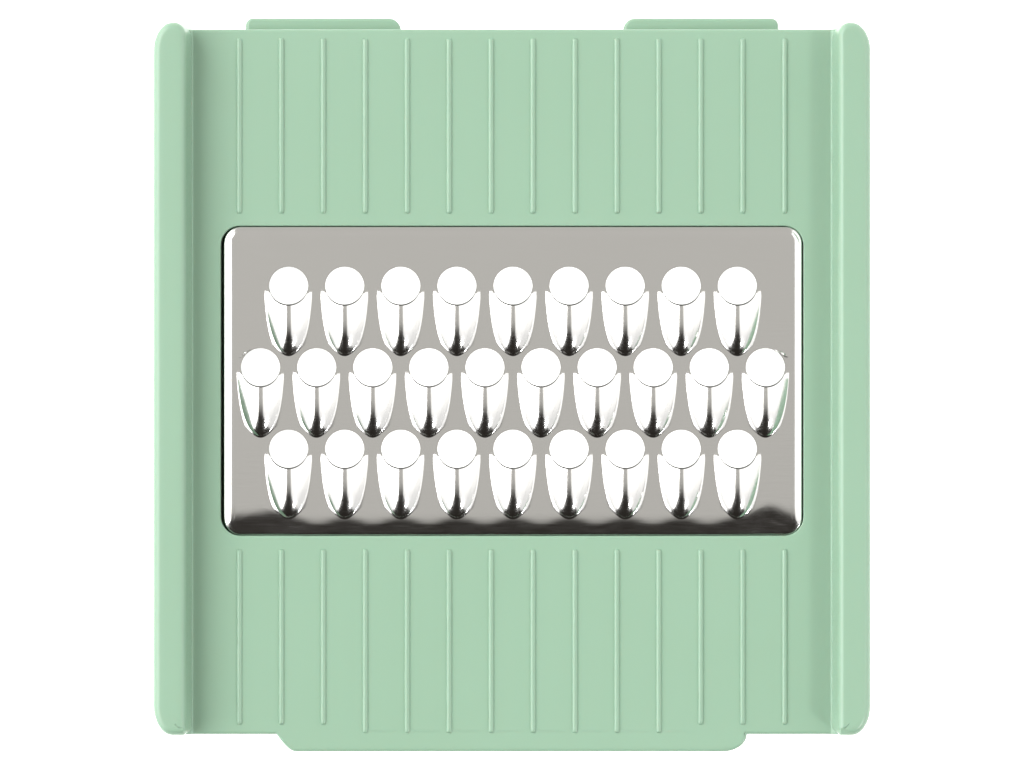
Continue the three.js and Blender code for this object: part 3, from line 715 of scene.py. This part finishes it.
# ------------------------------------------------------------------------------------------------------------
# Clamp ring. A flat ring of the same ABS under the plate's flange. The carrier's studs pass through it and
# are melted over it, which holds the plate for good.
# ------------------------------------------------------------------------------------------------------------
CLAMP_FURTHER_IN = 0.5  # how far the ring reaches inwards past the flange's width
CLAMP_CORNER = 2.5
CLAMP_ROUNDING = 0.3
clamp_outside = (FLANGE_HALF, FLANGE_FRONT, FLANGE_REAR, FLANGE_CORNER)
clamp_inside = (FLANGE_HALF - FLANGE_WIDTH - CLAMP_FURTHER_IN, FLANGE_FRONT + FLANGE_WIDTH + CLAMP_FURTHER_IN,
                FLANGE_REAR - FLANGE_WIDTH - CLAMP_FURTHER_IN, CLAMP_CORNER)
clamp = ring(clamp_outside, clamp_inside, ring_low[2], ring_high[2], CLAMP_ROUNDING)
moulding("clamp_band", [clamp], mint_abs, "clamp_ring")

# ------------------------------------------------------------------------------------------------------------
# Grating plate. 0.5 mm stainless sheet: holes are punched, and the metal in front of each is pressed up into
# a hood whose rim is the cutting edge. The sheet's border is rolled down into the window and turned outwards
# under the deck.
# ------------------------------------------------------------------------------------------------------------
SHEET = 0.5
PLATE_PROUD = 0.5  # how far the plate's face stands over the deck
PLATE_TOP = DECK_TOP + PLATE_PROUD
ROLL = 1.2  # width of the border's droop
DROOP = 0.30  # how far the border droops before it bends down
BEND = 0.3  # radius of that bend
PLATE_SHIFT = 0.15  # the plate sits this far right of the window's middle
SIDE_GAP = 0.35  # between the pan and the window, before the shift
END_GAP = 0.12
PAN_HALF = WINDOW_HALF - SIDE_GAP
PAN_FRONT = WINDOW_FRONT + END_GAP
PAN_REAR = WINDOW_REAR - END_GAP
PAN_CORNER = 2.6
FLAT_CORNER = 0.3  # corner of the level part, outside the tooth pattern's square corner
PITCH_X = 8.69
PITCH_Y = 12.63
MIDDLE_ROW = 2.5  # place of the middle row's holes
TEETH_IN_ROWS = (9, 10, 9)  # from the rear
HOLE = 3.05  # radius
SHOULDER = -0.7  # the hood's widest line, from the hole's centre
HOOD_WIDTH = 3.67  # half the hood's width there
HOOD_LENGTH = 10.0
HOOD_HEIGHT = 1.5
EDGE_AT = (HOLE + SHOULDER) / HOOD_LENGTH  # where the cutting edge's middle lies along the hood
PATTERN_HALF = 43.0
PATTERN_FRONT = -21.55
PATTERN_REAR = 22.1
HALF_PITCH = PITCH_X / 2
SHORT_ROW_HALF = 4.5 * PITCH_X  # from the middle to the side of a nine-tooth row
BORDER_REACH = PATTERN_HALF - SHORT_ROW_HALF  # from there to the pattern's border
WAVE = 1.1  # height of the wavy border between two rows of teeth
WAVE_MIDDLE = 2.53  # its middle line, from the centres of the holes in front of it
HALF_STEPS = 10  # grid steps over half a tooth's width
SIDE_STEPS = 18  # grid steps along a tooth's side
SHOULDER_STEP = 4  # the step at which the side passes the shoulder
NOSE_LENGTH = 0.17  # fraction of the hood's length that its round nose takes
NOSE_FROM = 1 - NOSE_LENGTH
COLLAR = 0.12  # width of the flat collar behind the hole
CUT_DEPTH = 0.3  # how far the sheared wall of the hole reaches down
CUT_LEAN = (0.02, 0.20)  # how far it leans into the hole: everywhere, and more under the cutting edge


def hood_half_width(t):
    """The hood's outline, HOOD_WIDTH (1 - 0.25 t) sqrt(1 - t^3.2).

    It is full at the shoulder, where t is 0, and closes as a round nose where t is 1.
    """
    return HOOD_WIDTH * (1 - 0.25 * t) * np.sqrt(np.clip(1 - t**3.2, 0, 1))


def hood_height(x, y):
    """Height over the sheet: full 0.9 mm past the shoulders, then falling along the crest ever more steeply.

    The crest falls as (1 - f^2.8)^0.7, with f from 0 at the cutting edge to 1 at the nose. Across the hood
    the height is 1 - u^n of the crest, with u from 0 on the crest to 1 on the outline. n grows from 1.5 at
    the cutting edge, where the crest is narrow, to 2.0 at the nose, where it is broad.
    """
    t = np.clip((SHOULDER - y) / HOOD_LENGTH, 0, 1)
    rise = np.sin(np.pi / 2 * np.clip(t / 0.09, 0, 1))
    fall = np.clip((t - EDGE_AT) / (1 - EDGE_AT), 0, 1)
    crest = (1 - fall**2.8) ** 0.7
    u = np.clip(np.abs(x) / np.maximum(hood_half_width(t), 1e-6), 0, 1)
    return HOOD_HEIGHT * rise * crest * (1 - u ** (1.5 + 0.5 * fall))


SAG_LINE = -20.3
SAG_WAVE = 0.35
SAG_ENDS = ((-38.5, 3.6, 1.5), (39.5, 3.0, 2.4))  # place, width and reach of each end's earlier start
SAG_RUN = 1.6
SAG_DEPTH = 0.14


def sheet_sag(x, y):
    """How far the pressing has drawn the sheet down towards its front border, sooner at both ends.

    Past a wavy line it falls as SAG_DEPTH s^2, with s the distance over SAG_RUN, and from s = 1 on it keeps
    that slope.
    """
    ends = sum(reach * np.exp(-(((x - place) / width) ** 2)) for place, width, reach in SAG_ENDS)
    line = SAG_LINE + SAG_WAVE * np.cos(2 * np.pi * x / PITCH_X) + ends
    s = np.maximum(line - y, 0) / SAG_RUN
    return SAG_DEPTH * np.where(s < 1, s * s, 2 * s - 1)


def wave_rear(x):
    """The rear limit of a tooth's patch: a cosine that clears this hole and the hoods behind it."""
    return WAVE_MIDDLE + WAVE * np.cos(2 * np.pi * x / PITCH_X)


def wave_front(x):
    """Its front limit: the rear limit of the row in front, which is half a tooth to the side."""
    return WAVE_MIDDLE - PITCH_Y - WAVE * np.cos(2 * np.pi * x / PITCH_X)


def tooth(left_half, right_half):
    """A tooth's patch of sheet: lines run from the hole's rim over the hood's outline to the patch's border.

    The right half is made first, in two runs from the shoulder: lower goes down round the nose, and upper up
    round the rear of the hole. left_half and right_half are how far the patch reaches to each side.
    """
    down = np.linspace(wave_rear(HALF_PITCH), wave_front(HALF_PITCH), SIDE_STEPS + 1)
    inwards = np.linspace(0, HALF_PITCH, HALF_STEPS + 1)[-2::-1]
    side_t = np.linspace(0, NOSE_FROM, SIDE_STEPS - SHOULDER_STEP + 1)
    nose_t = 1 - NOSE_LENGTH * (1 - np.arange(1, HALF_STEPS + 1) / HALF_STEPS) ** 2
    hood_t = np.concatenate([side_t, nose_t])
    start = math.asin(SHOULDER / HOLE)
    turn = np.linspace(start, -np.pi / 2, len(hood_t))
    lower = {
        "border_x": np.concatenate([np.full(len(side_t), HALF_PITCH), inwards]),
        "border_y": np.concatenate([down[SHOULDER_STEP:], wave_front(inwards)]),
        "line_x": hood_half_width(hood_t),
        "line_y": SHOULDER - HOOD_LENGTH * hood_t,
        "rim_x": HOLE * np.cos(turn),
        "rim_y": HOLE * np.sin(turn),
    }
    upper_border_y = np.concatenate([down[SHOULDER_STEP - 1 :: -1], wave_rear(inwards)])
    turn = np.linspace(start, np.pi / 2, len(upper_border_y) + 1)[1:]
    ease = HOLE + (HOOD_WIDTH - HOLE) * np.cos(turn) ** 4
    upper = {
        "border_x": np.concatenate([np.full(SHOULDER_STEP, HALF_PITCH), inwards]),
        "border_y": upper_border_y,
        "line_x": ease * np.cos(turn) + COLLAR * np.cos(turn),
        "line_y": ease * np.sin(turn) + COLLAR * np.sin(turn),
        "rim_x": HOLE * np.cos(turn),
        "rim_y": HOLE * np.sin(turn),
    }
    joined = {}
    for name in lower:
        right = np.concatenate([lower[name][::-1], upper[name]])
        flip = -1 if name.endswith("x") else 1
        joined[name] = np.concatenate([right, flip * right[-2:0:-1]])
    joined["border_x"] *= np.where(joined["border_x"] < 0, left_half, right_half) / HALF_PITCH
    rim = np.stack([joined["rim_x"], joined["rim_y"]], axis=-1)
    line = np.stack([joined["line_x"], joined["line_y"]], axis=-1)
    border = np.stack([joined["border_x"], joined["border_y"]], axis=-1)
    over_hood = 1 - (1 - np.linspace(0, 1, 12)) ** 1.5
    plans = [rim + (line - rim) * part for part in over_hood]
    rows = []
    lifted = np.clip(-rim[:, 1] / HOLE, 0, 1)
    cut = rim * (1 - (CUT_LEAN[0] + CUT_LEAN[1] * lifted) / HOLE)[:, None]
    rows.append(at_level(cut, PLATE_TOP + hood_height(rim[:, 0], rim[:, 1]) - CUT_DEPTH))
    for number, plan in enumerate(plans):
        level = hood_height(plan[:, 0], plan[:, 1]) if number < len(over_hood) - 1 else 0
        rows.append(at_level(plan, PLATE_TOP + level))
    for part in (0.33, 0.66, 1.0):
        plan = line + (border - line) * part
        rows.append(at_level(plan, PLATE_TOP))
    return np.stack(rows)


def blank(side):
    """The plain sheet beside the first or the last tooth of a short row, out to the pattern's border."""
    x = HALF_PITCH + np.linspace(0, HALF_PITCH, HALF_STEPS + 1)
    y = wave_rear(x) + (wave_front(x) - wave_rear(x)) * np.linspace(0, 1, SIDE_STEPS + 1)[:, None]
    return stack(side * (SHORT_ROW_HALF + (x - HALF_PITCH) * BORDER_REACH / HALF_PITCH), y, PLATE_TOP)


def border_strip(row_y, wave, limit):
    """The plain sheet between an outer row's wavy border and the straight border of the pattern."""
    x = np.linspace(-5 * PITCH_X, 5 * PITCH_X, 20 * HALF_STEPS + 1)
    squeeze = np.sign(x) * np.minimum(np.abs(x), SHORT_ROW_HALF)
    plan_x = squeeze + (x - squeeze) * (BORDER_REACH / HALF_PITCH)
    start = row_y + wave(x)
    steps = np.linspace(0, 1, 7 if limit > 0 else 4)[:, None]
    return stack(plan_x, start + (limit - start) * steps, PLATE_TOP)


plate_patches = []
tooth_places = []
for row, count in enumerate(TEETH_IN_ROWS):
    row_y = MIDDLE_ROW + (1 - row) * PITCH_Y
    short = count < max(TEETH_IN_ROWS)
    for number in range(count):
        x = (number - (count - 1) / 2) * PITCH_X
        left_half = BORDER_REACH if not short and number == 0 else HALF_PITCH
        right_half = BORDER_REACH if not short and number == count - 1 else HALF_PITCH
        tooth_places.append((x, row_y))
        plate_patches.append((tooth(left_half, right_half) + (x, row_y, 0), True))
    if short:
        plate_patches += [(blank(side) + (0, row_y, 0), False) for side in (-1, 1)]
rear_strip_sheet = border_strip(MIDDLE_ROW + PITCH_Y, wave_rear, PATTERN_REAR)
front_strip_sheet = border_strip(MIDDLE_ROW - PITCH_Y, wave_front, PATTERN_FRONT)
plate_patches += [(rear_strip_sheet, False), (front_strip_sheet, False)]

# The pattern's border, as a square loop, for the roll and the flange to start from.
edge_y = [front_strip_sheet[::-1, 0, 1]]
for row in (2, 1, 0):
    edge_x = HALF_PITCH if row == 1 else PITCH_X
    near = MIDDLE_ROW + (1 - row) * PITCH_Y
    ends = (near + wave_front(edge_x), near + wave_rear(edge_x))
    edge_y.append(np.linspace(*ends, SIDE_STEPS + 1)[1:])
edge_y.append(rear_strip_sheet[1:, 0, 1])
side_y = np.concatenate(edge_y)
end_x = rear_strip_sheet[0, :, 0]
ends = np.ones(len(end_x) - 1)
sides = np.ones(len(side_y) - 1)
border_x = np.concatenate([end_x[:-1], sides * PATTERN_HALF, end_x[:0:-1], -sides * PATTERN_HALF])
border_y = np.concatenate([ends * PATTERN_FRONT, side_y[:-1], ends * PATTERN_REAR, side_y[:0:-1]])
border_u = border_x / PATTERN_HALF
border_v = (2 * border_y - PATTERN_FRONT - PATTERN_REAR) / (PATTERN_REAR - PATTERN_FRONT)
border = np.stack([border_x, border_y], axis=-1)


PAN_CORNER_FROM = (0.93, 0.86)  # fractions of the sides' half lengths at which the pan's corners begin
FOOT_BEND = 0.5  # radius at which the pan's wall turns out into the flange


def pan_loop(grow, corner):
    """The pan's outline moved outwards by grow, on the pattern's own loop, and its outward normals."""
    return rounded_loop(border_u, border_v, *PAN_CORNER_FROM,
                        PAN_HALF + grow, PAN_FRONT - grow, PAN_REAR + grow, corner)


# The border droops on every side but the front, where the sag takes its place.
outline_normal = pan_loop(0, PAN_CORNER)[1]
droop = DROOP * np.clip(1 + outline_normal[:, 1], 0, 1)

flat = pan_loop(-BEND - ROLL, FLAT_CORNER)[0]
rows = []
for part in (0, 0.5, 1):
    plan = border + (flat - border) * part
    rows.append(at_level(plan, PLATE_TOP))
for part in np.linspace(0.1, 1, 10):
    corner = PAN_CORNER - (PAN_CORNER - FLAT_CORNER) * (1 - part)
    plan = pan_loop(-BEND - ROLL * (1 - part), corner)[0]
    rows.append(at_level(plan, PLATE_TOP - droop * part**2))
for angle in np.radians(np.linspace(22, 90, 7)):
    plan = pan_loop(-BEND * (1 - math.sin(angle)), PAN_CORNER)[0]
    rows.append(at_level(plan, PLATE_TOP - droop - BEND * (1 - math.cos(angle))))
flange_top = ring_high[2] + SEAT_GAP + SHEET
for angle in np.radians(np.linspace(0, 90, 6)):
    out = FOOT_BEND * (1 - math.cos(angle))
    plan = pan_loop(out, PAN_CORNER + out)[0]
    rows.append(at_level(plan, flange_top + FOOT_BEND * (1 - math.sin(angle))))
plan = pan_loop(FLANGE_WIDTH, FLANGE_CORNER)[0]
rows.append(at_level(plan, flange_top))
plate_patches.append((np.stack(rows), True))

# Stainless sheet, rolled bright and pressed: it mirrors the room, a little spread by the rolling's grain and
# by waves 14 mm apart. The grain's lines lie 0.1 mm apart and are 4 mm long.
stainless = bpy.data.materials.new("bright_stainless_sheet")
stainless.use_nodes = True
tree = stainless.node_tree
tree.nodes.clear()
place = node(tree, "TexCoord").outputs["Object"]
stretched = node(tree, "Mapping", Vector=place, Scale=(260.0, 9000.0, 9000.0))
rolling = node(tree, "TexNoise", Vector=stretched.outputs["Vector"], Scale=1.0, Detail=3.0)
cloud = node(tree, "TexNoise", Vector=place, Scale=70.0, Detail=2.0)
spread = node(tree, "MapRange", Value=rolling.outputs["Fac"],
              From_Min=0.3, From_Max=0.7, To_Min=0.12, To_Max=0.20)
lines = node(tree, "Bump", Height=rolling.outputs["Fac"], Strength=0.05, Distance=0.00002)
wave = node(tree, "Bump", Height=cloud.outputs["Fac"], Strength=0.15, Distance=0.0003,
            Normal=lines.outputs["Normal"])
steel_shader = node(tree, "BsdfPrincipled", Base_Color=linear("#cfcecc"), Metallic=1.0,
                    Roughness=spread.outputs["Result"], Normal=wave.outputs["Normal"])
node(tree, "OutputMaterial", Surface=steel_shader.outputs["BSDF"])

# The sag is full on the plate's face and fades out towards the flange.
shaped = []
for points, wrap in plate_patches:
    share = np.clip((points[..., 2] - flange_top) / (PLATE_TOP - flange_top), 0, 1)
    sunk = points[..., 2] - sheet_sag(points[..., 0], points[..., 1]) * share
    shaped.append((stack(points[..., 0] + PLATE_SHIFT, points[..., 1], sunk), wrap))

# The cut round each hole. The punch shears it and tears it, so it is a dull, dark grey, torn 0.2 mm apart.
sheared = bpy.data.materials.new("sheared_stainless_edge")
sheared.use_nodes = True
tree = sheared.node_tree
tree.nodes.clear()
place = node(tree, "TexCoord").outputs["Object"]
tear = node(tree, "TexNoise", Vector=place, Scale=6000.0, Detail=3.0)
tear_tint = node(tree, "Mix", {"data_type": "RGBA"}, Factor=tear.outputs["Fac"],
                 i6=linear("#4c4b49"), i7=linear("#6b6a67"))
tear_relief = node(tree, "Bump", Height=tear.outputs["Fac"], Strength=0.3, Distance=0.00002)
tear_shader = node(tree, "BsdfPrincipled", Base_Color=tear_tint.outputs[2], Metallic=1.0, Roughness=0.55,
                   Normal=tear_relief.outputs["Normal"])
node(tree, "OutputMaterial", Surface=tear_shader.outputs["BSDF"])

RIM_TOLERANCE = 0.004
STEEL_CREASE = 50.0  # degrees; sharper edges are shaded as edges
plate = moulding("plate", shaped, stainless, "grating_plate", crease=STEEL_CREASE)
plate.data.materials.append(sheared)
corners = np.empty(len(plate.data.vertices) * 3)
plate.data.vertices.foreach_get("co", corners)
corners = corners.reshape(-1, 3) / MM
near_hole = np.full(len(corners), np.inf)
for x, y in tooth_places:
    near_hole = np.minimum(near_hole, np.hypot(corners[:, 0] - x - PLATE_SHIFT, corners[:, 1] - y))
in_cut = near_hole < HOLE + RIM_TOLERANCE
cut_faces = [all(in_cut[corner] for corner in face.vertices) for face in plate.data.polygons]
plate.data.polygons.foreach_set("material_index", np.array(cut_faces, dtype=np.int32))
thickness = plate.modifiers.new("sheet", "SOLIDIFY")
thickness.material_offset_rim = 1
thickness.thickness = SHEET * MM
thickness.offset = -1.0
